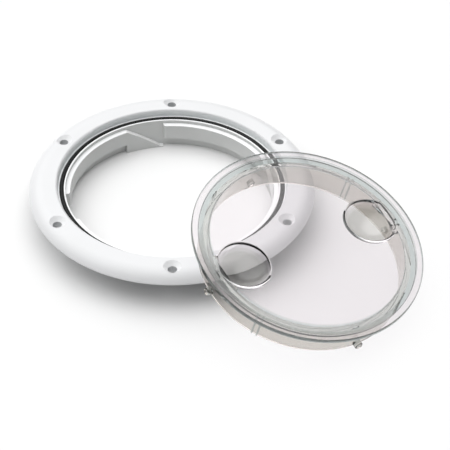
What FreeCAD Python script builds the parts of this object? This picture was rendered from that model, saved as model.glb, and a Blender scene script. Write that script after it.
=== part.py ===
import FreeCAD, Part
import math
import os

import Sketcher
from FreeCAD import Placement, Rotation, Vector

# Round screw-out inspection plate for a boat's deck. A white moulded ring is screwed down
# over a hole in the deck, a black sealing ring lies in its groove, and a clear lid with two
# finger wells turns into four ramps inside the ring. The lid is off and leans on the ring:
# its skirt stands on the same ground as the ring at one end and on the flange at the other.
#
# Frame: millimetres, +Z up, origin at the centre of the ring on the deck face, which is the
# underside of its flange. The first screw hole lies on +Y.

DOC = FreeCAD.newDocument("inspection_plate")

# Driving sizes, in millimetres, degrees and plain numbers
SIZES = (
    ("clear_opening", 127, "diameter of the opening between the raised bands"),
    ("band_width", 2.9, "reach of a raised band from the barrel's bore"),
    ("inner_ledge", 0.95, "ledge between the barrel and the seal groove"),
    ("seal_cord", 2.6, "thickness of the sealing cord"),
    ("seal_side", 0.15, "groove clearance on each side of the cord"),
    ("outer_ledge", 0.65, "ledge between the seal groove and the recess wall"),
    ("collar_wall", 1.9, "wall outside the seal groove"),
    ("core_wall", 2.2, "wall between the collar and the hollow under the flange"),
    ("screw_inset", 9.1, "circle of screws outside the recess"),
    ("flange_border", 9.0, "edge of the flange outside the circle of screws"),
    ("flange_height", 6.7, "top of the flange above the deck"),
    ("flange_lip", 1.0, "upright edge below the domed border"),
    ("dome_width", 9.2, "width of the domed border"),
    ("screw_count", 6, "screw holes"),
    ("screw_hole", 5.6, "through hole for a screw"),
    ("sink_dia", 11, "countersink at the top"),
    ("sink_angle", 95, "countersink angle"),
    ("core_depth", 3.4, "hollow under the flange"),
    ("core_rim", 4.6, "solid border left outside the hollow"),
    ("boss_wall", 3.0, "wall of the boss round a screw hole"),
    ("stiffener", 1.8, "thickness of the ribs in the hollow"),
    ("shoulder_rake", 0.6, "outward lean of the recess wall"),
    ("shoulder_round", 1.3, "rounding at the mouth of the recess"),
    ("ledge_height", 1.9, "ledges beside the seal, above the deck"),
    ("lip_bevel", 0.25, "bevel of the inner ledge towards the barrel"),
    ("seal_stand", 0.7, "cord standing above the ledges"),
    ("seal_seat", 0.06, "cord above the groove's floor"),
    ("collar_height", 3.4, "collar that centres the ring in the deck"),
    ("barrel_wall", 2.8, "wall of the barrel"),
    ("barrel_depth", 17.8, "barrel below the deck face"),
    ("band_drop", 0.4, "top of a band below the deck face"),
    ("band_slope", 0.2, "fall of the band's top towards the opening"),
    ("band_foot", 11.1, "lower edge of a band below the deck face"),
    ("band_bevel", 0.25, "bevel along the band's top"),
    ("band_nose", 1.4, "rounding of a band's free end"),
    ("lug_count", 4, "lugs on the lid, and notches in the ring"),
    ("notch_width", 23, "angle of one entry notch"),
    ("notch_place", 106, "angle of the first notch from +X"),
    ("ramp_toe", 0.5, "ramp's low end above the barrel's foot"),
    ("ramp_landing", 2.3, "level stretch at the ramp's low end"),
    ("rim_gap", 1.0, "lid's rim to the recess wall"),
    ("rim_height", 2.6, "thickness of the lid's rim"),
    ("rim_round", 0.7, "rounding of the rim's top edge"),
    ("spigot_gap", 0.7, "step under the rim to the barrel's bore"),
    ("spigot_height", 1.5, "height of the step under the rim"),
    ("panel_height", 3.0, "thickness of the lid's panel"),
    ("skirt_gap", 0.9, "skirt to the raised bands"),
    ("skirt_wall", 2.3, "skirt's wall at its foot"),
    ("skirt_draft", 0.6, "extra wall at the skirt's root"),
    ("seal_squeeze", 0.5, "cord pressed down under the closed lid"),
    ("lug_dia", 5.0, "thickness of a lug"),
    ("lug_turn", -1.2, "lugs from the line through the finger wells, as an angle"),
    ("lug_play", 0.1, "lug below the band that holds it"),
    ("lug_gap", 0.3, "lug's end to the barrel's bore"),
    ("lug_bevel", 0.6, "bevel round the lug's end"),
    ("skirt_tail", 0.1, "skirt below the lugs"),
    ("guide_turn", 33.2, "centring ribs from the nearest lug, as an angle"),
    ("guide_pitch", 3.2, "distance between the two ribs of a pair"),
    ("guide_wall", 1.0, "thickness of a centring rib"),
    ("guide_gap", 0.2, "centring rib to the raised bands"),
    ("guide_pairs", 4, "pairs of centring ribs"),
    ("well_count", 2, "finger wells"),
    ("well_mouth", 33.4, "finger well across its rounded mouth"),
    ("well_depth", 10.0, "depth of a finger well"),
    ("well_wall", 2.2, "wall of a finger well"),
    ("well_round", 1.5, "rounding at the well's mouth"),
    ("grip_web", 1.5, "well's upright outer wall to the skirt's inner face"),
    ("grip_cut", 3.5, "part of the mouth cut off by the upright wall"),
    ("grip_foot", 6.0, "lower edge of the upright wall"),
    ("grip_end", 1.0, "upright wall past the mouth at each end, as an angle"),
    ("lean_tilt", 14.3, "lean of the lid that rests on the ring"),
    ("lean_turn", -41.75, "direction in which the lid leans, from +X"),
    ("lean_spin", 71.8, "turn of the lid about its own middle"),
    ("lean_gap", 0.4, "skirt above the flange where it rests"),
)

sheet = DOC.addObject("Spreadsheet::Sheet", "sizes")
for row, (alias, value, meaning) in enumerate(SIZES, start=1):
    sheet.set(f"A{row}", alias)
    sheet.set(f"B{row}", str(value))
    sheet.set(f"C{row}", meaning)
    sheet.setAlias(f"B{row}", alias)
DOC.recompute()

# Radii and levels that follow from the driving sizes, from the opening outwards
BAND = "(sizes.clear_opening / 2)"
BORE = f"({BAND} + sizes.band_width)"
GROOVE_IN = f"({BORE} + sizes.inner_ledge)"
SEAL = f"({GROOVE_IN} + sizes.seal_side + sizes.seal_cord / 2)"
GROOVE_OUT = f"({SEAL} + sizes.seal_cord / 2 + sizes.seal_side)"
GROOVE_FLOOR = "(sizes.ledge_height + sizes.seal_stand - sizes.seal_cord - sizes.seal_seat)"
SHOULDER = f"({GROOVE_OUT} + sizes.outer_ledge)"
COLLAR = f"({GROOVE_OUT} + sizes.collar_wall)"
CORE_IN = f"({COLLAR} + sizes.core_wall)"
SCREW_REACH = f"({SHOULDER} + sizes.screw_inset)"
FLANGE_EDGE = f"({SCREW_REACH} + sizes.flange_border)"
CORE_OUT = f"({FLANGE_EDGE} - sizes.core_rim)"
DOME_START = f"({FLANGE_EDGE} - sizes.dome_width)"
DOME_RISE = "(sizes.flange_height - sizes.flange_lip)"
DOME_RADIUS = f"(sizes.dome_width ^ 2 + {DOME_RISE} ^ 2) / (2 * {DOME_RISE})"
BAND_EDGE = "(-sizes.band_drop - sizes.band_slope)"
BAND_FALL = "(sizes.band_slope / sizes.band_width)"
NOTCH_HALF = "(sizes.notch_width / 2)"
LUG_STEP = "(360 / sizes.lug_count)"
FOOT = "(-sizes.barrel_depth)"

RIM = f"({SHOULDER} - sizes.rim_gap)"
SPIGOT = f"({BORE} - sizes.spigot_gap)"
SKIRT = f"({BAND} - sizes.skirt_gap)"
SKIRT_FOOT_IN = f"({SKIRT} - sizes.skirt_wall)"
SKIRT_ROOT_IN = f"({SKIRT_FOOT_IN} - sizes.skirt_draft)"
SPIGOT_FOOT = "(sizes.rim_height + sizes.spigot_height)"
CLOSED_TOP = "(sizes.ledge_height + sizes.seal_stand - sizes.seal_squeeze + sizes.rim_height)"
LUG_DROP = f"({CLOSED_TOP} + sizes.band_foot + sizes.lug_play + sizes.lug_dia / 2)"
SKIRT_FOOT = f"({LUG_DROP} + sizes.lug_dia / 2 + sizes.skirt_tail)"
LUG_END = f"({BORE} - sizes.lug_gap)"
GUIDE = f"({BAND} - sizes.guide_gap)"

# Finger wells: round bowls whose outer side is cut off by an upright wall near the skirt
GRIP = f"({SKIRT_ROOT_IN} - sizes.grip_web)"
WELL = "(sizes.well_mouth / 2)"
WELL_REACH = f"({GRIP} + sizes.grip_cut - {WELL})"
BOWL_REACH = f"(({WELL} ^ 2 + sizes.well_depth ^ 2) / (2 * sizes.well_depth))"
BOWL = f"({BOWL_REACH} - sizes.well_round)"
BOWL_MIDDLE = f"({BOWL} - sizes.well_depth)"
BOWL_SHARE = f"({BOWL} / {BOWL_REACH})"
CUP = f"({BOWL} + sizes.well_wall)"
CUP_TOP = "(sizes.panel_height / 2)"
GRIP_HALF = (f"(acos(({GRIP} ^ 2 + {WELL_REACH} ^ 2 - {WELL} ^ 2) / (2 * {GRIP} * {WELL_REACH}))"
             " + sizes.grip_end * 1 deg)")

# Where the leaning lid comes to rest: the outer edge of the skirt's foot is level with the
# barrel's foot at its lowest point, and the inner edge of the foot crosses the flange where
# the domed border begins
FOOT_LEVEL = f"({FOOT} + {SKIRT} * sin(sizes.lean_tilt))"
LEAN_RISE = f"(sizes.flange_height + sizes.lean_gap - {FOOT_LEVEL})"
LEAN_SHARE = f"({LEAN_RISE} / ({SKIRT_FOOT_IN} * sin(sizes.lean_tilt)))"
LEAN_SIDE = f"({SKIRT_FOOT_IN} ^ 2 * (1 - {LEAN_SHARE} ^ 2))"
LEAN_BACK = f"({SKIRT_FOOT_IN} * {LEAN_SHARE} * cos(sizes.lean_tilt))"
FOOT_REACH = f"({LEAN_BACK} + sqrt({DOME_START} ^ 2 - {LEAN_SIDE}))"
LID_REACH = f"({FOOT_REACH} + {SKIRT_FOOT} * sin(sizes.lean_tilt))"
LID_LEVEL = f"({FOOT_LEVEL} + {SKIRT_FOOT} * cos(sizes.lean_tilt))"

OVERCUT = 1.0
MERGE = 0.4


def number(text):
    """Value of an expression on the sheet of sizes."""
    value = sheet.evalExpression(text)
    return float(getattr(value, "Value", value))


def new_body(name):
    """Empty body whose label names the piece."""
    body = DOC.addObject("PartDesign::Body", name)
    body.Label = name
    return body


def datum(body, role):
    """Origin plane or axis of a body, found by its role."""
    return next(item for item in body.Origin.OriginFeatures if item.Role == role)


def new_sketch(body, name, role, offset=None, turn=None):
    """Sketch on an origin plane turned about +Z, and then moved by offset along its normal."""
    sketch = body.newObject("Sketcher::SketchObject", name)
    sketch.AttachmentSupport = [(datum(body, role), "")]
    sketch.MapMode = "FlatFace"
    upright = Vector(0, 0, 1) if role == "XY_Plane" else Vector(0, 1, 0)
    sketch.AttachmentOffset = Placement(Vector(0, 0, 0), Rotation(upright, 0))
    if offset and role == "XY_Plane":
        sketch.setExpression("AttachmentOffset.Base.z", offset)
    elif offset:
        sketch.setExpression("AttachmentOffset.Base.x", f"{offset} * sin({turn})")
        sketch.setExpression("AttachmentOffset.Base.z", f"{offset} * cos({turn})")
    if turn:
        sketch.setExpression("AttachmentOffset.Rotation.Angle", turn)
    return sketch


def hold(sketch, kind, items, name, text):
    """Named constraint bound to an expression."""
    index = sketch.addConstraint(Sketcher.Constraint(kind, *items, number(text)))
    sketch.renameConstraint(index, name)
    sketch.setExpression(f"Constraints.{name}", text)


def outline(sketch, corners, arcs=None):
    """Closed outline through corners given as pairs of expressions.

    arcs maps the number of a corner to (radius, side): the edge that leaves that corner is
    then an arc, with its centre on the left of the way for side 1 and on the right for -1.
    """
    arcs = arcs or {}
    points = [Vector(number(x), number(y), 0) for x, y in corners]
    starts = []
    ends = []
    edges = []
    for index, here in enumerate(points):
        there = points[(index + 1) % len(points)]
        if index not in arcs:
            edges.append(sketch.addGeometry(Part.LineSegment(here, there)))
            starts.append(1)
            ends.append(2)
            continue
        radius_text, side = arcs[index]
        radius = number(radius_text)
        chord = there - here
        left = Vector(-chord.y, chord.x, 0).normalize() * side
        rise = max(radius ** 2 - (chord.Length / 2) ** 2, 0) ** 0.5
        centre = (here + there) * 0.5 + left * rise
        first, last = (here, there) if side > 0 else (there, here)
        circle = Part.Circle(centre, Vector(0, 0, 1), radius)
        arc = Part.ArcOfCircle(circle, circle.parameter(first), circle.parameter(last))
        edges.append(sketch.addGeometry(arc))
        starts.append(1 if side > 0 else 2)
        ends.append(2 if side > 0 else 1)
    for index, edge in enumerate(edges):
        after = (index + 1) % len(edges)
        joint = ("Coincident", edge, ends[index], edges[after], starts[after])
        sketch.addConstraint(Sketcher.Constraint(*joint))
    base = sketch.ConstraintCount
    for index, (x_text, y_text) in enumerate(corners):
        corner = (-1, 1, edges[index], starts[index])
        hold(sketch, "DistanceX", corner, f"x{base}_{index}", x_text)
        hold(sketch, "DistanceY", corner, f"y{base}_{index}", y_text)
    for index, (radius_text, side) in arcs.items():
        hold(sketch, "Radius", (edges[index],), f"bow{base}_{index}", radius_text)


def circle(sketch, x_text, y_text, radius_text):
    """Circle held by its centre and radius."""
    shape = Part.Circle(Vector(number(x_text), number(y_text), 0), Vector(0, 0, 1), number(radius_text))
    edge = sketch.addGeometry(shape)
    hold(sketch, "DistanceX", (-1, 1, edge, 3), "centre_x", x_text)
    hold(sketch, "DistanceY", (-1, 1, edge, 3), "centre_y", y_text)
    hold(sketch, "Radius", (edge,), "radius", radius_text)


def feature(body, kind, name, sketch, **sizes):
    """Sketch-based feature whose sizes are numbers, options or bound expressions."""
    item = body.newObject(f"PartDesign::{kind}", name)
    item.Profile = sketch
    for key, value in sizes.items():
        if isinstance(value, str) and "sizes." in value:
            item.setExpression(key, value)
        else:
            setattr(item, key, value)
    DOC.recompute()
    return item


def around(body, name, features, count):
    """Polar pattern of features about the body's Z axis."""
    pattern = body.newObject("PartDesign::PolarPattern", name)
    pattern.Originals = features
    pattern.Axis = (datum(body, "Z_Axis"), [""])
    pattern.Angle = 360
    pattern.setExpression("Occurrences", count)
    body.Tip = pattern
    DOC.recompute()
    return pattern


def ring_edges(shape, radius, level):
    """Names of the circular edges about Z with a radius and a level."""
    found = []
    for index, edge in enumerate(shape.Edges, start=1):
        curve = edge.Curve
        if curve.TypeId != "Part::GeomCircle" or abs(curve.Radius - radius) > 0.01:
            continue
        on_axis = abs(curve.Center.x) < 0.01 and abs(curve.Center.y) < 0.01
        if on_axis and abs(curve.Center.z - level) < 0.01:
            found.append(f"Edge{index}")
    return found


def nose_edges(shape):
    """Names of the upright edges at the free ends of the raised bands."""
    place = math.radians(number(f"sizes.notch_place - {NOTCH_HALF}"))
    step = math.radians(number(LUG_STEP))
    found = []
    for index, edge in enumerate(shape.Edges, start=1):
        low, high = edge.Vertexes[0].Point, edge.Vertexes[-1].Point
        upright = math.hypot(low.x - high.x, low.y - high.y) < 0.01 and abs(high.z - low.z) > 1
        inside = abs(math.hypot(low.x, low.y) - number(BAND)) < 0.01
        past = (math.atan2(low.y, low.x) - place) % step
        if upright and inside and min(past, step - past) < 0.01:
            found.append(f"Edge{index}")
    return found


def dress(body, kind, name, base, edges, size):
    """Fillet or chamfer of the named edges of a feature."""
    item = body.newObject(f"PartDesign::{kind}", name)
    item.Base = (base, edges)
    item.setExpression("Radius" if kind == "Fillet" else "Size", f"1 * sizes.{size}")
    DOC.recompute()
    return item


# Raised bands and ramps inside the ring. They start as one inner sleeve; below each band it
# is cut back to let a lug pass, and each entry notch leaves a ramp over a stop wedge.
bands = new_body("bayonet_bands")
bands.AllowCompound = True
sleeve_sketch = new_sketch(bands, "sleeve_section", "XZ_Plane")
outline(sleeve_sketch, (
    (BAND, FOOT),
    (f"{BORE} + {MERGE}", FOOT),
    (f"{BORE} + {MERGE}", "-sizes.band_drop"),
    (BORE, "-sizes.band_drop"),
    (f"{BAND} + sizes.band_bevel", f"{BAND_EDGE} + {BAND_FALL} * sizes.band_bevel"),
    (BAND, f"{BAND_EDGE} - sizes.band_bevel"),
))
feature(bands, "Revolution", "sleeve", sleeve_sketch,
        ReferenceAxis=(datum(bands, "Z_Axis"), [""]), Angle=360)

# The sides of a notch are parallel, so at the barrel its low side lies at a smaller angle
NOTCH_LOW = f"asin({BAND} * sin({NOTCH_HALF}) / ({BORE} + {MERGE}))"
under_sketch = new_sketch(bands, "under_band_section", "XZ_Plane",
                          turn=f"sizes.notch_place + {NOTCH_HALF}")
outline(under_sketch, (
    (f"{BAND} - {OVERCUT}", f"{FOOT} - {OVERCUT}"),
    (f"{BORE} + {OVERCUT}", f"{FOOT} - {OVERCUT}"),
    (f"{BORE} + {OVERCUT}", "-sizes.band_foot"),
    (f"{BAND} - {OVERCUT}", "-sizes.band_foot"),
))
under_band = feature(bands, "Groove", "under_band", under_sketch,
                     ReferenceAxis=(datum(bands, "Z_Axis"), [""]),
                     Angle=f"({LUG_STEP} - {NOTCH_HALF}) * 1 deg - {NOTCH_LOW}")
around(bands, "under_bands", [under_band], "sizes.lug_count")

# The notch is cut outwards and upwards, so that its ramp falls towards the opening as the
# top of the bands does. Its high end lies on the side of the larger angle.
NOTCH_SIDE = f"({BAND} * sin({NOTCH_HALF}))"
notch_sketch = new_sketch(bands, "notch_section", "YZ_Plane",
                          offset=f"{BAND} * cos({NOTCH_HALF})", turn="sizes.notch_place")
outline(notch_sketch, (
    (f"-{NOTCH_SIDE}", f"{FOOT} + sizes.ramp_toe"),
    (f"sizes.ramp_landing - {NOTCH_SIDE}", f"{FOOT} + sizes.ramp_toe"),
    (NOTCH_SIDE, BAND_EDGE),
    (NOTCH_SIDE, "sizes.flange_height"),
    (f"-{NOTCH_SIDE}", "sizes.flange_height"),
))
notch = feature(bands, "Pocket", "notch", notch_sketch,
                Length=f"{BORE} - {BAND} * cos({NOTCH_HALF}) + {OVERCUT}",
                UseCustomVector=True, AlongSketchNormal=True)
notch.setExpression("Direction", "create(<<vector>>; cos(sizes.notch_place); "
                    f"sin(sizes.notch_place); {BAND_FALL})")
DOC.recompute()
around(bands, "notches", [notch], "sizes.lug_count")

# Deck ring: flange, lid recess, seal groove, collar and barrel are turned from one section
ring = new_body("deck_ring")
ring_sketch = new_sketch(ring, "ring_section", "XZ_Plane")
outline(ring_sketch, (
    (FLANGE_EDGE, "0"),
    (FLANGE_EDGE, "sizes.flange_lip"),
    (DOME_START, "sizes.flange_height"),
    (f"{SHOULDER} + sizes.shoulder_rake", "sizes.flange_height"),
    (SHOULDER, "sizes.ledge_height"),
    (GROOVE_OUT, "sizes.ledge_height"),
    (GROOVE_OUT, GROOVE_FLOOR),
    (GROOVE_IN, GROOVE_FLOOR),
    (GROOVE_IN, "sizes.ledge_height"),
    (BORE, "sizes.ledge_height"),
    (BORE, FOOT),
    (f"{BORE} + sizes.barrel_wall", FOOT),
    (f"{BORE} + sizes.barrel_wall", "-sizes.collar_height"),
    (COLLAR, "-sizes.collar_height"),
    (COLLAR, "0"),
), {1: (DOME_RADIUS, 1)})
feature(ring, "Revolution", "turned_ring", ring_sketch,
        ReferenceAxis=(datum(ring, "Z_Axis"), [""]), Angle=360)

# The thick flange is hollow underneath, with a boss round each screw and a rib between them
core_sketch = new_sketch(ring, "core_section", "XZ_Plane")
outline(core_sketch, (
    (CORE_IN, f"-{OVERCUT}"),
    (CORE_OUT, f"-{OVERCUT}"),
    (CORE_OUT, "sizes.core_depth"),
    (CORE_IN, "sizes.core_depth"),
))
feature(ring, "Groove", "core", core_sketch,
        ReferenceAxis=(datum(ring, "Z_Axis"), [""]), Angle=360)
boss_sketch = new_sketch(ring, "boss_section", "XY_Plane")
circle(boss_sketch, "0", SCREW_REACH, "sizes.screw_hole / 2 + sizes.boss_wall")
boss = feature(ring, "Pad", "screw_boss", boss_sketch, Length=f"sizes.core_depth + {MERGE}")
around(ring, "screw_bosses", [boss], "sizes.screw_count")
rib_sketch = new_sketch(ring, "stiffener_section", "XY_Plane",
                        turn="90 + 180 / sizes.screw_count")
outline(rib_sketch, (
    (f"{CORE_IN} - {MERGE}", "-sizes.stiffener / 2"),
    (f"{CORE_OUT} + {MERGE}", "-sizes.stiffener / 2"),
    (f"{CORE_OUT} + {MERGE}", "sizes.stiffener / 2"),
    (f"{CORE_IN} - {MERGE}", "sizes.stiffener / 2"),
))
rib = feature(ring, "Pad", "stiffener", rib_sketch, Length=f"sizes.core_depth + {MERGE}")
around(ring, "stiffeners", [rib], "sizes.screw_count")

hole_sketch = new_sketch(ring, "screw_centre", "XY_Plane", offset="sizes.flange_height")
circle(hole_sketch, "0", SCREW_REACH, "sizes.screw_hole / 2")
hole = feature(ring, "Hole", "screw_hole", hole_sketch, DepthType="ThroughAll",
               Diameter="1 * sizes.screw_hole", HoleCutType="Countersink")
hole.HoleCutCustomValues = True
hole.setExpression("HoleCutDiameter", "sizes.sink_dia")
hole.setExpression("HoleCutCountersinkAngle", "sizes.sink_angle")
DOC.recompute()
around(ring, "screw_holes", [hole], "sizes.screw_count")

joined = ring.newObject("PartDesign::Boolean", "with_bands")
joined.Type = "Fuse"
joined.setObjects([bands])
ring.Tip = joined
DOC.recompute()
noses = dress(ring, "Fillet", "band_noses", joined, nose_edges(joined.Shape), "band_nose")
inner_lip = ring_edges(noses.Shape, number(BORE), number("sizes.ledge_height"))
bevelled = dress(ring, "Chamfer", "lip_bevelled", noses, inner_lip, "lip_bevel")
mouth = ring_edges(bevelled.Shape, number(f"{SHOULDER} + sizes.shoulder_rake"),
                   number("sizes.flange_height"))
dress(ring, "Fillet", "mouth_round", bevelled, mouth, "shoulder_round")

# Sealing ring: one loop of round rubber cord lying in the groove
seal = DOC.addObject("Part::Torus", "sealing_ring")
seal.Label = "sealing_ring"
seal.setExpression("Radius1", SEAL)
seal.setExpression("Radius2", "sizes.seal_cord / 2")
seal.setExpression("Placement.Base.z", f"{GROOVE_FLOOR} + sizes.seal_seat + sizes.seal_cord / 2")

# Clear lid: panel, rim, locating step and skirt are turned from one section, with the
# middle of the panel's top at the origin and the first finger well on +X
lid = new_body("clear_lid")
lid_sketch = new_sketch(lid, "lid_section", "XZ_Plane")
outline(lid_sketch, (
    ("0", "-sizes.panel_height"),
    (SKIRT_ROOT_IN, "-sizes.panel_height"),
    (SKIRT_FOOT_IN, f"-{SKIRT_FOOT}"),
    (SKIRT, f"-{SKIRT_FOOT}"),
    (SKIRT, f"-{SPIGOT_FOOT}"),
    (SPIGOT, f"-{SPIGOT_FOOT}"),
    (SPIGOT, "-sizes.rim_height"),
    (RIM, "-sizes.rim_height"),
    (RIM, "-sizes.rim_round"),
    (f"{RIM} - sizes.rim_round", "0"),
    ("0", "0"),
), {8: ("sizes.rim_round", 1)})
feature(lid, "Revolution", "turned_lid", lid_sketch,
        ReferenceAxis=(datum(lid, "Z_Axis"), [""]), Angle=360)

# Each finger well is a bowl of even wall, moulded under the panel
cup_sketch = new_sketch(lid, "cup_section", "XZ_Plane")
cup_sketch.setExpression("AttachmentOffset.Base.x", WELL_REACH)
outline(cup_sketch, (
    ("0", "-sizes.well_depth - sizes.well_wall"),
    (f"sqrt({CUP} ^ 2 - ({BOWL_MIDDLE} + {CUP_TOP}) ^ 2)", f"-{CUP_TOP}"),
    ("0", f"-{CUP_TOP}"),
), {0: (CUP, 1)})
cup = feature(lid, "Revolution", "cup", cup_sketch, ReferenceAxis=(cup_sketch, ["V_Axis"]), Angle=360)
well_sketch = new_sketch(lid, "well_section", "XZ_Plane")
well_sketch.setExpression("AttachmentOffset.Base.x", WELL_REACH)
outline(well_sketch, (
    ("0", "-sizes.well_depth"),
    (f"{WELL} * {BOWL_SHARE}", f"{BOWL_MIDDLE} - ({BOWL_MIDDLE} + sizes.well_round) * {BOWL_SHARE}"),
    (WELL, "0"),
    (WELL, f"{OVERCUT}"),
    ("0", f"{OVERCUT}"),
), {0: (BOWL, 1), 1: ("1 * sizes.well_round", -1)})
well = feature(lid, "Groove", "well", well_sketch, ReferenceAxis=(well_sketch, ["V_Axis"]), Angle=360)
grip_sketch = new_sketch(lid, "grip_section", "XZ_Plane", turn=f"-{GRIP_HALF}")
outline(grip_sketch, (
    (GRIP, "-sizes.grip_foot"),
    (f"{SKIRT} - {MERGE}", "-sizes.grip_foot"),
    (f"{SKIRT} - {MERGE}", "0"),
    (f"{GRIP} + sizes.well_round", "0"),
    (GRIP, "-sizes.well_round"),
), {3: ("1 * sizes.well_round", 1)})
grip = feature(lid, "Revolution", "grip_wall", grip_sketch,
               ReferenceAxis=(datum(lid, "Z_Axis"), [""]), Angle=f"2 * {GRIP_HALF}")
around(lid, "wells", [cup, well, grip], "sizes.well_count")

# A lug is a short peg that points outwards, turned about its own level line
lug_sketch = new_sketch(lid, "lug_section", "XZ_Plane", turn="sizes.lug_turn")
lug_sketch.setExpression("AttachmentOffset.Base.y", f"-{LUG_DROP}")
outline(lug_sketch, (
    (f"{SKIRT} - {MERGE}", "0"),
    (LUG_END, "0"),
    (LUG_END, "sizes.lug_dia / 2 - sizes.lug_bevel"),
    (f"{LUG_END} - sizes.lug_bevel", "sizes.lug_dia / 2"),
    (f"{SKIRT} - {MERGE}", "sizes.lug_dia / 2"),
))
lug = feature(lid, "Revolution", "lug", lug_sketch,
              ReferenceAxis=(lug_sketch, ["H_Axis"]), Angle=360)
around(lid, "lugs", [lug], "sizes.lug_count")

# Pairs of upright ribs centre the lid between the raised bands
guide_sketch = new_sketch(lid, "guide_section", "XY_Plane", offset=f"-{SKIRT_FOOT}",
                          turn="sizes.lug_turn + sizes.guide_turn")
for side in (-1, 1):
    middle = f"{side} * sizes.guide_pitch / 2"
    outline(guide_sketch, (
        (f"{SKIRT} - {MERGE}", f"{middle} - sizes.guide_wall / 2"),
        (GUIDE, f"{middle} - sizes.guide_wall / 2"),
        (GUIDE, f"{middle} + sizes.guide_wall / 2"),
        (f"{SKIRT} - {MERGE}", f"{middle} + sizes.guide_wall / 2"),
    ))
guide = feature(lid, "Pad", "guide_pair", guide_sketch,
                Length=f"{SKIRT_FOOT} - {SPIGOT_FOOT} + {MERGE}")
around(lid, "guide_pairs", [guide], "sizes.guide_pairs")

# The lid leans: it is spun about its own middle, tilted, and turned to where it leans
lid.setExpression("Placement", (
    f"create(<<placement>>; create(<<vector>>; {LID_REACH} * cos(sizes.lean_turn);"
    f" {LID_REACH} * sin(sizes.lean_turn); {LID_LEVEL});"
    " create(<<rotation>>; create(<<vector>>; 0; 0; 1); sizes.lean_turn)"
    " * create(<<rotation>>; create(<<vector>>; 0; 1; 0); sizes.lean_tilt)"
    " * create(<<rotation>>; create(<<vector>>; 0; 0; 1); sizes.lean_spin))"))
DOC.recompute()

# Every object has to be sound, and every cut has to have removed something
for item in DOC.Objects:
    if "Invalid" in item.State or "Error" in item.State:
        raise RuntimeError(f"{item.Label} failed: {item.State}")
    cuts = item.TypeId in ("PartDesign::Pocket", "PartDesign::Groove", "PartDesign::Hole")
    if cuts and not item.Shape.Volume < item.BaseFeature.Shape.Volume - 1:
        raise RuntimeError(f"{item.Label} cuts nothing")

PIECES = (ring, seal, lid)
for piece in PIECES:
    shape = piece.Shape
    if shape.isNull() or not shape.isValid() or len(shape.Solids) != 1:
        raise RuntimeError(f"{piece.Label} is not one sound solid")

os.makedirs("parts", exist_ok=True)
for piece in PIECES:
    piece.Shape.exportStep(f"parts/{piece.Label}.step")
    print(f"{piece.Label}: {piece.Shape.Volume:.0f} cubic millimetres")
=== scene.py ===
import math

import bmesh
import bpy
from mathutils import Matrix, Vector


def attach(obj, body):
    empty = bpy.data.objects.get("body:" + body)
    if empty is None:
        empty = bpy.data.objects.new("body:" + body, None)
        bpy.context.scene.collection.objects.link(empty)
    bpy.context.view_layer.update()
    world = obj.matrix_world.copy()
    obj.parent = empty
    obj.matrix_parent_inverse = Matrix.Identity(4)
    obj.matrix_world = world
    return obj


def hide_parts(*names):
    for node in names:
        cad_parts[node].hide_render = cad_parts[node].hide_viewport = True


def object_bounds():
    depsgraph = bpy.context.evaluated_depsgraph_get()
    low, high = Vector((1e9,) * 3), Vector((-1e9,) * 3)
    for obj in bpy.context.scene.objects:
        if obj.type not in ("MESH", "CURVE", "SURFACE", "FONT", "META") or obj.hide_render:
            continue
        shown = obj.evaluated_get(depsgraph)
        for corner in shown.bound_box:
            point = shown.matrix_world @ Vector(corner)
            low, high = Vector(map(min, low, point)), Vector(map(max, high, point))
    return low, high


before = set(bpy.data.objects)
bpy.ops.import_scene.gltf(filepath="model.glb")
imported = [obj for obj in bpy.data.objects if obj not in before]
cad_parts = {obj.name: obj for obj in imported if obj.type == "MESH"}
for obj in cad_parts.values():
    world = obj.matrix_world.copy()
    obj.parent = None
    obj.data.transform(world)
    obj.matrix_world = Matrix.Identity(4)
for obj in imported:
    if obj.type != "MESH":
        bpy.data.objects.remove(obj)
cad_box = [list(corner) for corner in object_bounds()]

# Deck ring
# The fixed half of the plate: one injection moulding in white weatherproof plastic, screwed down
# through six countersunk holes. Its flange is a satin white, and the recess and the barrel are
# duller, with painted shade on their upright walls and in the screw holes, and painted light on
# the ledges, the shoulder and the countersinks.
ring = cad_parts["deck_ring"]
# The flange's white, painted shade for the upright walls with random clouds, painted light for the
# ledges, shoulder and countersinks, painted shade in the holes
RING_WHITE = (0.74, 0.745, 0.755, 1)
PAINTED_SHADE_AND_MOTTLE = (0.60, 0.61, 0.60, 1)
PAINTED_LEDGE_AND_SINK_LIGHT = (0.93, 0.935, 0.94, 1)
PAINTED_SHOULDER_LIGHT = (0.91, 0.95, 0.96, 1)
PAINTED_HOLE_SHADE = (0.50, 0.51, 0.52, 1)
PAINTED_WALL_SHADE_SHARE = 0.9
CLOUD_SHARE = 0.1
SINK_LIGHT_SHARE = 0.35
RING_GLOSS = 0.3
RING_CORE_GLOSS = 0.45
CLOUD_GLOSS = 0.08
CLOUDS_A_METRE = 45.0
CLOUD_EDGES = (0.35, 0.75)
PORES_A_METRE = 2600.0

# Where the duller gloss, the painted shade and the painted light fade in, by the distance from the
# ring's axis
INSIDE = (0.0718, 0.0710)
SHOULDER = (0.0704, 0.0707)
SCREWS_FROM = (0.0745, 0.0747)
SCREWS_TO = (0.0855, 0.0853)

# Where it fades in as the surface turns up or down
WALL_FACING = (0.6, 0.25)
SHELF_FACING = (0.45, 0.8)
SINK_FACING = (0.85, 0.75)
HOLE_FACING = (0.5, 0.3)


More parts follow.
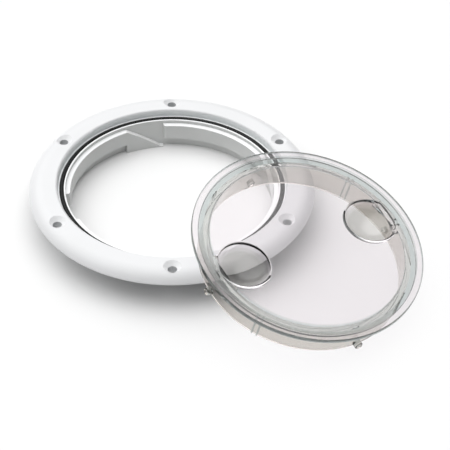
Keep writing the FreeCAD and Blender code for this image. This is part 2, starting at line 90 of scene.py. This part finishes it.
class Wire:
    """Output socket of a node. Arithmetic on wires adds Math nodes to their material."""

    def __init__(self, tree, socket=None):
        self.tree = tree
        self.socket = socket

    def node(self, kind, settings=None, values=None, out=0):
        """Any node: its settings come first, then the values or wires of its sockets."""
        made = self.tree.nodes.new("ShaderNode" + kind)
        for name, setting in (settings or {}).items():
            setattr(made, name, setting)
        for name, value in (values or {}).items():
            if isinstance(value, Wire):
                self.tree.links.new(value.socket, made.inputs[name])
            else:
                made.inputs[name].default_value = value
        return Wire(self.tree, made.outputs[out] if made.outputs else None)

    def other(self, name):
        """Wire from another output of this wire's node."""
        return Wire(self.tree, self.socket.node.outputs[name])

    def math(self, operation, first, second):
        """Math node on two numbers or wires."""
        return self.node("Math", {"operation": operation}, {0: first, 1: second})

    def __add__(self, other):
        return self.math("ADD", self, other)

    __radd__ = __add__

    def __sub__(self, other):
        return self.math("SUBTRACT", self, other)

    def __rsub__(self, other):
        return self.math("SUBTRACT", other, self)

    def __mul__(self, other):
        return self.math("MULTIPLY", self, other)

    __rmul__ = __mul__

    def __pow__(self, other):
        return self.math("POWER", self, other)

    def ramp(self, low, high, start=0.0, end=1.0):
        """Smooth change from start to end while this wire goes from low to high."""
        return self.node("MapRange", {"interpolation_type": "SMOOTHSTEP"}, {
            "Value": self, "From Min": low, "From Max": high, "To Min": start, "To Max": end})

    def blend(self, first, second):
        """Colour that goes from first to second with this wire."""
        return self.node("Mix", {"data_type": "RGBA"}, {0: self, 6: first, 7: second}, out=2)


def new_material(name):
    """Empty material, and a wire that its first nodes are made with."""
    material = bpy.data.materials.new(name)
    material.use_nodes = True
    material.node_tree.nodes.clear()
    return material, Wire(material.node_tree)


def finish_material(start, shader):
    """Shader to the material's output."""
    start.node("OutputMaterial", values={"Surface": shader})


def grain(place, scale, detail=2.0):
    """Noise of the given number of grains a metre."""
    return place.node("TexNoise", values={"Vector": place, "Scale": scale, "Detail": detail})


white_plastic, start = new_material("white_plastic")
place = start.node("TexCoord", out="Object")
x = start.node("SeparateXYZ", values={0: place})
y = x.other("Y")
reach = (x * x + y * y) ** 0.5
facing = start.node("NewGeometry", out="Normal")
facing_up = start.node("SeparateXYZ", values={0: facing}, out="Z")
inside = reach.ramp(*INSIDE)
wall = inside * facing_up.ramp(*WALL_FACING)
shelf = inside * facing_up.ramp(*SHELF_FACING)
shoulder = wall * reach.ramp(*SHOULDER)
screw_circle = reach.ramp(*SCREWS_FROM) * reach.ramp(*SCREWS_TO)
sink = screw_circle * facing_up.ramp(*SINK_FACING)
hole = screw_circle * facing_up.ramp(*HOLE_FACING)
clouds = grain(place, CLOUDS_A_METRE, detail=4.0)
# Upright walls inside the recess are darkened with painted shade; the random clouds darken a little
# everywhere
painted_shade_and_clouds = wall * PAINTED_WALL_SHADE_SHARE + clouds.ramp(*CLOUD_EDGES) * CLOUD_SHARE
# The shoulder of the recess is lightened with painted light
colour = shoulder.blend(painted_shade_and_clouds.blend(RING_WHITE, PAINTED_SHADE_AND_MOTTLE), PAINTED_SHOULDER_LIGHT)
# Upward ledges inside the recess, and in part the countersinks, are lightened with painted light
colour = (shelf + sink * SINK_LIGHT_SHARE).blend(colour, PAINTED_LEDGE_AND_SINK_LIGHT)
gloss = RING_GLOSS + inside * (RING_CORE_GLOSS - RING_GLOSS)
pores = grain(place, PORES_A_METRE)
finish_material(start, start.node("BsdfPrincipled", values={
    # The walls of the screw holes are darkened with painted shade
    "Base Color": hole.blend(colour, PAINTED_HOLE_SHADE),
    "Roughness": gloss + (clouds - 0.5) * CLOUD_GLOSS,
    "IOR": 1.5,
    "Specular IOR Level": 0.35,
    "Normal": start.node("Bump", values={"Strength": 0.12, "Distance": 0.0001, "Height": pores}),
}))
ring.material_slots[0].material = white_plastic

# Sealing ring
# One loop of black rubber cord, pressed into the groove between the two white ledges. It is
# dull, with the bloom and dust that rubber picks up.
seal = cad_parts["sealing_ring"]
RUBBER_BLACK = (0.003, 0.0035, 0.0035, 1)
RUBBER_BLOOM = (0.010, 0.011, 0.012, 1)
RUBBER_GLOSS = 0.5
BLOOM_GLOSS = 0.2
BLOOMS_A_METRE = 900.0
BLOOM_EDGES = (0.45, 0.8)
RUBBER_GRAINS_A_METRE = 5000.0

black_rubber, start = new_material("black_rubber")
place = start.node("TexCoord", out="Object")
bloom = grain(place, BLOOMS_A_METRE, detail=3.0).ramp(*BLOOM_EDGES)
bumps = grain(place, RUBBER_GRAINS_A_METRE)
finish_material(start, start.node("BsdfPrincipled", values={
    "Base Color": bloom.blend(RUBBER_BLACK, RUBBER_BLOOM),
    "Roughness": RUBBER_GLOSS + BLOOM_GLOSS * bloom,
    "Specular IOR Level": 0.3,
    "Normal": start.node("Bump", values={"Strength": 0.3, "Distance": 0.00005, "Height": bumps}),
}))
seal.material_slots[0].material = black_rubber

# Clear lid
# One injection moulding in clear plastic, polished all over: a panel with a rim and two bowls for
# finger and thumb, a step that fits the ring's bore, and a skirt with four lugs and four pairs of
# centring ribs. It is off the ring and leans on the flange.
LID_MIDDLE = Vector((0.079797, -0.071222, 0.018011))
LID_TURN = math.radians(-41.75)
LID_TILT = math.radians(14.3)
LID_SPIN = math.radians(71.8)

# In the lid's own frame, where its axis is Z and the top of its panel is at zero
RIM = 0.0699
RIM_HEIGHT = 0.0026
RIM_ROUND = 0.0007
STEP = 0.0657
STEP_FOOT = 0.0041
PANEL = 0.003
SKIRT = 0.0626
SKIRT_INSIDE = 0.0603
SKIRT_ROOT = 0.0597
SKIRT_FOOT = 0.021
EDGE_ROUND = 0.0003
ROOT_ROUND = 0.0012
WELL_PLACE = 0.045
WELL_MOUTH = 0.0167
WELL_DEPTH = 0.010
WELL_ROUND = 0.0015
WELL_WALL = 0.0022
GRIP = 0.0582
GRIP_FOOT = 0.006
GRIP_OVERLAP = math.radians(1)
LUG = 0.0025
LUG_DROP = 0.0184
LUG_END = 0.0661
LUG_BEVEL = 0.0006
LUG_TURN = math.radians(-1.2)
GUIDE = 0.0633
GUIDE_TURN = math.radians(33.2)
GUIDE_PITCH = 0.0032
GUIDE_WALL = 0.001
SUNK = 0.0004
CUT_ABOVE = 0.001
SHARP_EDGE = math.radians(35)
LID_STEPS = 240
WELL_STEPS = 120
BOWL_STEPS = 40
GRIP_STEPS = 24
LUG_STEPS = 32
GUIDE_STEPS = 2
LIP_STEPS = 8
ROUND_STEPS = 6
EDGE_STEPS = 4


def bend(middle, radius, first, last, steps):
    """Points of an arc in a section, as reach and height, between two angles in degrees."""
    angles = [math.radians(first + (last - first) * index / steps) for index in range(steps + 1)]
    return [(middle[0] + radius * math.cos(angle), middle[1] + radius * math.sin(angle))
            for angle in angles]


def lower_edge(reach, depth, side=1):
    """Small round at the lower edge of a wall's outside, or of its inside where side is -1."""
    first = 270 if side == 1 else 180
    middle = (reach - side * EDGE_ROUND, EDGE_ROUND - depth)
    return bend(middle, EDGE_ROUND, first, first + 90, EDGE_STEPS)


def turned(name, section, steps, first=0.0, sweep=math.tau):
    """Solid that a closed section, as reach and height, leaves as it turns about Z."""
    shape = bmesh.new()
    whole = sweep == math.tau
    rings = []
    for index in range(steps if whole else steps + 1):
        angle = first + sweep * index / steps
        across = math.cos(angle)
        along = math.sin(angle)
        points = []
        for number, (reach, level) in enumerate(section):
            if reach == 0 and rings:
                points.append(rings[0][number])
            else:
                points.append(shape.verts.new((reach * across, reach * along, level)))
        rings.append(points)
    for here, there in zip(rings, rings[1:] + rings[:1] if whole else rings[1:]):
        for number in range(len(section)):
            after = (number + 1) % len(section)
            corners = dict.fromkeys((here[number], here[after], there[after], there[number]))
            if len(corners) > 2:
                shape.faces.new(list(corners))
    if not whole:
        shape.faces.new(rings[0])
        shape.faces.new(rings[-1])
    bmesh.ops.recalc_face_normals(shape, faces=shape.faces)
    mesh = bpy.data.meshes.new(name)
    shape.to_mesh(mesh)
    shape.free()
    made = bpy.data.objects.new(name, mesh)
    bpy.context.scene.collection.objects.link(made)
    return made


def combine(piece, operation, tool, place):
    """Join a tool to a piece or cut it out, at a place of its own, and discard the tool."""
    tool.data.transform(place)
    change = piece.modifiers.new(operation, "BOOLEAN")
    change.operation = operation
    change.solver = "MANIFOLD"
    change.object = tool
    bpy.context.view_layer.objects.active = piece
    bpy.ops.object.modifier_apply(modifier=change.name)
    bpy.data.objects.remove(tool)


# Clear plastic shows every facet, so the lid gets finer steps here than the solid has
lid = turned("lid_moulding", [
    (0, -PANEL),
    *bend((SKIRT_ROOT - ROOT_ROUND, -PANEL - ROOT_ROUND), ROOT_ROUND, 90, 0, ROUND_STEPS),
    *lower_edge(SKIRT_INSIDE, SKIRT_FOOT, -1),
    *lower_edge(SKIRT, SKIRT_FOOT),
    (SKIRT, -STEP_FOOT),
    *lower_edge(STEP, STEP_FOOT),
    (STEP, -RIM_HEIGHT),
    *lower_edge(RIM, RIM_HEIGHT),
    *bend((RIM - RIM_ROUND, -RIM_ROUND), RIM_ROUND, 0, 90, ROUND_STEPS),
    (0, 0),
], LID_STEPS)

# Each well is a bowl with a lip, inside a cup of even wall, and its outer side is cut off by an
# upright wall to grip
bowl_reach = (WELL_MOUTH ** 2 + WELL_DEPTH ** 2) / (2 * WELL_DEPTH)
bowl = bowl_reach - WELL_ROUND
bowl_middle = bowl - WELL_DEPTH
bowl_edge = math.degrees(math.asin((bowl_middle + WELL_ROUND) / bowl_reach))
cup = bowl + WELL_WALL
cup_edge = math.degrees(math.asin((bowl_middle + PANEL / 2) / cup))
cup_section = [
    *bend((0, bowl_middle), cup, -90, -cup_edge, BOWL_STEPS)[1:],
    (0, -PANEL / 2),
    (0, bowl_middle - cup),
]
well_section = [
    *bend((0, bowl_middle), bowl, -90, -bowl_edge, BOWL_STEPS)[1:],
    *bend((WELL_MOUTH, -WELL_ROUND), WELL_ROUND, 180 - bowl_edge, 90, LIP_STEPS)[1:],
    (WELL_MOUTH, CUT_ABOVE),
    (0, CUT_ABOVE),
    (0, -WELL_DEPTH),
]
grip_section = [
    (GRIP, -GRIP_FOOT),
    (SKIRT - SUNK, -GRIP_FOOT),
    (SKIRT - SUNK, 0),
    *bend((GRIP + WELL_ROUND, -WELL_ROUND), WELL_ROUND, 90, 180, LIP_STEPS),
]
grip_meets_mouth = (GRIP ** 2 + WELL_PLACE ** 2 - WELL_MOUTH ** 2) / (2 * GRIP * WELL_PLACE)
grip_half = math.acos(grip_meets_mouth) + GRIP_OVERLAP
for half_turn in (0, math.pi):
    here = Matrix.Rotation(half_turn, 4, "Z")
    at_well = here @ Matrix.Translation((WELL_PLACE, 0, 0))
    grip_wall = turned("grip_wall", grip_section, GRIP_STEPS, -grip_half, 2 * grip_half)
    combine(lid, "UNION", turned("cup", cup_section, WELL_STEPS), at_well)
    combine(lid, "DIFFERENCE", turned("well", well_section, WELL_STEPS), at_well)
    combine(lid, "UNION", grip_wall, here)

# Lugs, and a pair of centring ribs between each two
lug_length = LUG_END - SKIRT + SUNK
lug_section = [
    (0, 0),
    (LUG, 0),
    (LUG, lug_length - LUG_BEVEL),
    (LUG - LUG_BEVEL, lug_length),
    (0, lug_length),
]
guide_section = [
    (SKIRT - SUNK, -SKIRT_FOOT),
    (GUIDE, -SKIRT_FOOT),
    (GUIDE, -STEP_FOOT + SUNK),
    (SKIRT - SUNK, -STEP_FOOT + SUNK),
]
lug_place = Matrix.Translation((SKIRT - SUNK, 0, -LUG_DROP)) @ Matrix.Rotation(math.pi / 2, 4, "Y")
guide_half = GUIDE_WALL / 2 / GUIDE
for quarter in range(4):
    here = Matrix.Rotation(LUG_TURN + quarter * math.pi / 2, 4, "Z")
    combine(lid, "UNION", turned("lug", lug_section, LUG_STEPS), here @ lug_place)
    for side in (-1, 1):
        first = GUIDE_TURN + side * GUIDE_PITCH / 2 / GUIDE - guide_half
        guide = turned("guide", guide_section, GUIDE_STEPS, first, 2 * guide_half)
        combine(lid, "UNION", guide, here)

leaning = Matrix.Rotation(LID_TURN, 4, "Z") @ Matrix.Rotation(LID_TILT, 4, "Y")
lid.data.transform(Matrix.Translation(LID_MIDDLE) @ leaning @ Matrix.Rotation(LID_SPIN, 4, "Z"))
lid.data.shade_smooth()
lid.data.set_sharp_from_angle(angle=SHARP_EDGE)
weights = lid.modifiers.new("weights", "WEIGHTED_NORMAL")
weights.keep_sharp = True

# The tint deepens where the plastic is thick, and over the step band and in the cups it also holds
# painted shade
# The rim's edge, the step's edge and the ribs are darkened with painted shade
CLEAR_PANEL = (0.815, 0.785, 0.80, 1)
STEP_TINT_AND_SHADE = (0.53, 0.57, 0.565, 1)
CLEAR_SKIRT = (0.62, 0.59, 0.55, 1)
PAINTED_EDGE_SHADE = (0.22, 0.27, 0.26, 1)
WELL_TINT_AND_SHADE = (0.64, 0.63, 0.61, 1)
CLEAR_SHADOW = (0.975, 0.972, 0.975, 1)
BAND_IN = (SKIRT_ROOT - 0.0014, SKIRT_ROOT + 0.0004)
BAND_OUT = (STEP + 0.0001, STEP - 0.0006)
SKIRT_START = (-STEP_FOOT, -STEP_FOOT - 0.001)
RIM_EDGE = (RIM - 0.0009, RIM - 0.0002)
STEP_EDGE_IN = (STEP - 0.0003, STEP)
STEP_EDGE_OUT = (STEP + 0.0004, STEP + 0.0001)
STEP_EDGE_SHARE = 0.8
RIBS_IN = (SKIRT + 0.0001, SKIRT + 0.0005)
RIBS_OUT = (GUIDE + 0.0006, GUIDE + 0.0002)
SMEARS_A_METRE = 60.0
SMEAR_EDGES = (0.3, 0.8)
POLISH = 0.02
SMEARED = 0.05

clear_plastic, start = new_material("clear_plastic")
place = start.node("TexCoord", out="Object")
from_middle = start.node("VectorMath", {"operation": "SUBTRACT"}, {0: place, 1: LID_MIDDLE})
distance = start.node("VectorMath", {"operation": "LENGTH"}, {0: from_middle}, out="Value")
height = start.node("VectorMath", {"operation": "DOT_PRODUCT"}, {
    0: from_middle, 1: leaning.col[2].to_3d()}, out="Value")
reach = (distance * distance - height * height) ** 0.5
step_band = reach.ramp(*BAND_IN) * reach.ramp(*BAND_OUT)
skirt_part = height.ramp(*SKIRT_START)
rim_edge = reach.ramp(*RIM_EDGE)
step_edge = reach.ramp(*STEP_EDGE_IN) * reach.ramp(*STEP_EDGE_OUT)
ribs = skirt_part * reach.ramp(*RIBS_IN) * reach.ramp(*RIBS_OUT)
# The step band's grey-teal is a deeper tint of plastic seen down the skirt, together with painted
# shade of the hollow under the panel
tint_and_painted_shade = (step_band * (1 - skirt_part)).blend(CLEAR_PANEL, STEP_TINT_AND_SHADE)
# The cups' darker tint also holds painted shade of the floor seen through them
tint_and_painted_shade = skirt_part.blend(tint_and_painted_shade, reach.ramp(GRIP, SKIRT_ROOT).blend(WELL_TINT_AND_SHADE, CLEAR_SKIRT))
# Dark painted shade along the rim's edge, the step's edge and the centring ribs
tint_and_painted_shade = (rim_edge + step_edge * STEP_EDGE_SHARE + ribs).blend(tint_and_painted_shade, PAINTED_EDGE_SHADE)
body = start.node("BsdfPrincipled", values={
    "Base Color": tint_and_painted_shade,
    "Roughness": grain(place, SMEARS_A_METRE).ramp(*SMEAR_EDGES, POLISH, SMEARED),
    "IOR": 1.52,
    "Transmission Weight": 1.0,
})
through = start.node("BsdfTransparent", values={"Color": CLEAR_SHADOW})
lamp_ray = start.node("LightPath", out="Is Shadow Ray")
bounced_ray = lamp_ray.other("Is Diffuse Ray")
lit = start.node("MixShader", values={0: lamp_ray, 1: body, 2: through})
finish_material(start, start.node("MixShader", values={0: bounced_ray, 1: lit, 2: through}))
lid.data.materials.clear()
lid.data.materials.append(clear_plastic)
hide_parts("clear_lid")
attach(lid, "root")

# Floor
# Seamless matt white paper that the ring and the lid lie on. It isn't part of the object.
FLOOR_REACH = 4.0
FLOOR_GAP = 0.00005
FLOOR_WHITE = (0.82, 0.82, 0.82, 1)
floor_level = cad_box[0][2] - FLOOR_GAP
mesh = bpy.data.meshes.new("floor")
mesh.from_pydata([
    (-FLOOR_REACH, -FLOOR_REACH, floor_level),
    (FLOOR_REACH, -FLOOR_REACH, floor_level),
    (FLOOR_REACH, FLOOR_REACH, floor_level),
    (-FLOOR_REACH, FLOOR_REACH, floor_level),
], [], [(0, 1, 2, 3)])
floor = bpy.data.objects.new("floor", mesh)
bpy.context.scene.collection.objects.link(floor)
paper, start = new_material("paper")
finish_material(start, start.node("BsdfPrincipled", values={
    "Base Color": FLOOR_WHITE, "Roughness": 0.9, "Specular IOR Level": 0.1}))
mesh.materials.append(paper)

# Studio light
# One very large soft box overhead, a little to the left and behind, in a dim room that glows
# almost evenly all round.
BOX_WAY = Vector((-0.227, 0.218, 0.949)).normalized()
BOX_INNER = math.cos(math.radians(18))
BOX_OUTER = math.cos(math.radians(66))
BOX_GLOW = 2.2
ROOM_LOW = 0.13
ROOM_HIGH = 0.14
ROOM_TOP = 0.8
room = bpy.data.worlds.new("room")
bpy.context.scene.world = room
room.use_nodes = True
room.node_tree.nodes.clear()
start = Wire(room.node_tree)
way = start.node("TexCoord", out="Generated")
up = start.node("SeparateXYZ", values={0: way}, out="Z")
towards_box = start.node("VectorMath", {"operation": "DOT_PRODUCT"}, {0: way, 1: BOX_WAY}, out="Value")
box_glow = towards_box.ramp(BOX_OUTER, BOX_INNER, 0.0, BOX_GLOW)
start.node("OutputWorld", values={"Surface": start.node("Background", values={
    "Color": (1.0, 1.0, 1.0, 1),
    "Strength": up.ramp(0.0, ROOM_TOP, ROOM_LOW, ROOM_HIGH) + box_glow,
})})

# Camera
# It looks down at the ring from 40 degrees above the horizon, with a long lens. The ring's
# middle lies left of and above the middle of the picture.
PICTURE = 450
FOCAL = 1516.87
DISTANCE = 0.95
ELEVATION = 0.696682
ROLL = -0.0041672
RING_MIDDLE = (172.084, 187.165)
SENSOR = 36.0
camera = bpy.data.objects.new("camera", bpy.data.cameras.new("camera"))
bpy.context.scene.collection.objects.link(camera)
bpy.context.scene.camera = camera
camera.data.sensor_width = SENSOR
camera.data.lens = SENSOR * FOCAL / PICTURE
away = Vector((0, -math.cos(ELEVATION), math.sin(ELEVATION)))
ahead = -away
right = Vector((1, 0, 0))
down = -right.cross(ahead)
rolled = Matrix.Rotation(ROLL, 3, "Z") @ Matrix((right, down, ahead))

# The view is then turned off the ring's middle, which brings that to its place in the picture
sight = Vector((RING_MIDDLE[0] - PICTURE / 2, RING_MIDDLE[1] - PICTURE / 2, FOCAL)).normalized()
pitched = Matrix.Rotation(-math.asin(sight.y), 3, "X")
yawed = Matrix.Rotation(math.atan2(sight.x, sight.z), 3, "Y")
rows = yawed @ pitched @ rolled
axes = Matrix((rows[0], -rows[1], -rows[2])).transposed()
camera.matrix_world = Matrix.Translation(away * DISTANCE) @ axes.to_4x4()
bpy.context.scene.view_settings.view_transform = "Standard"
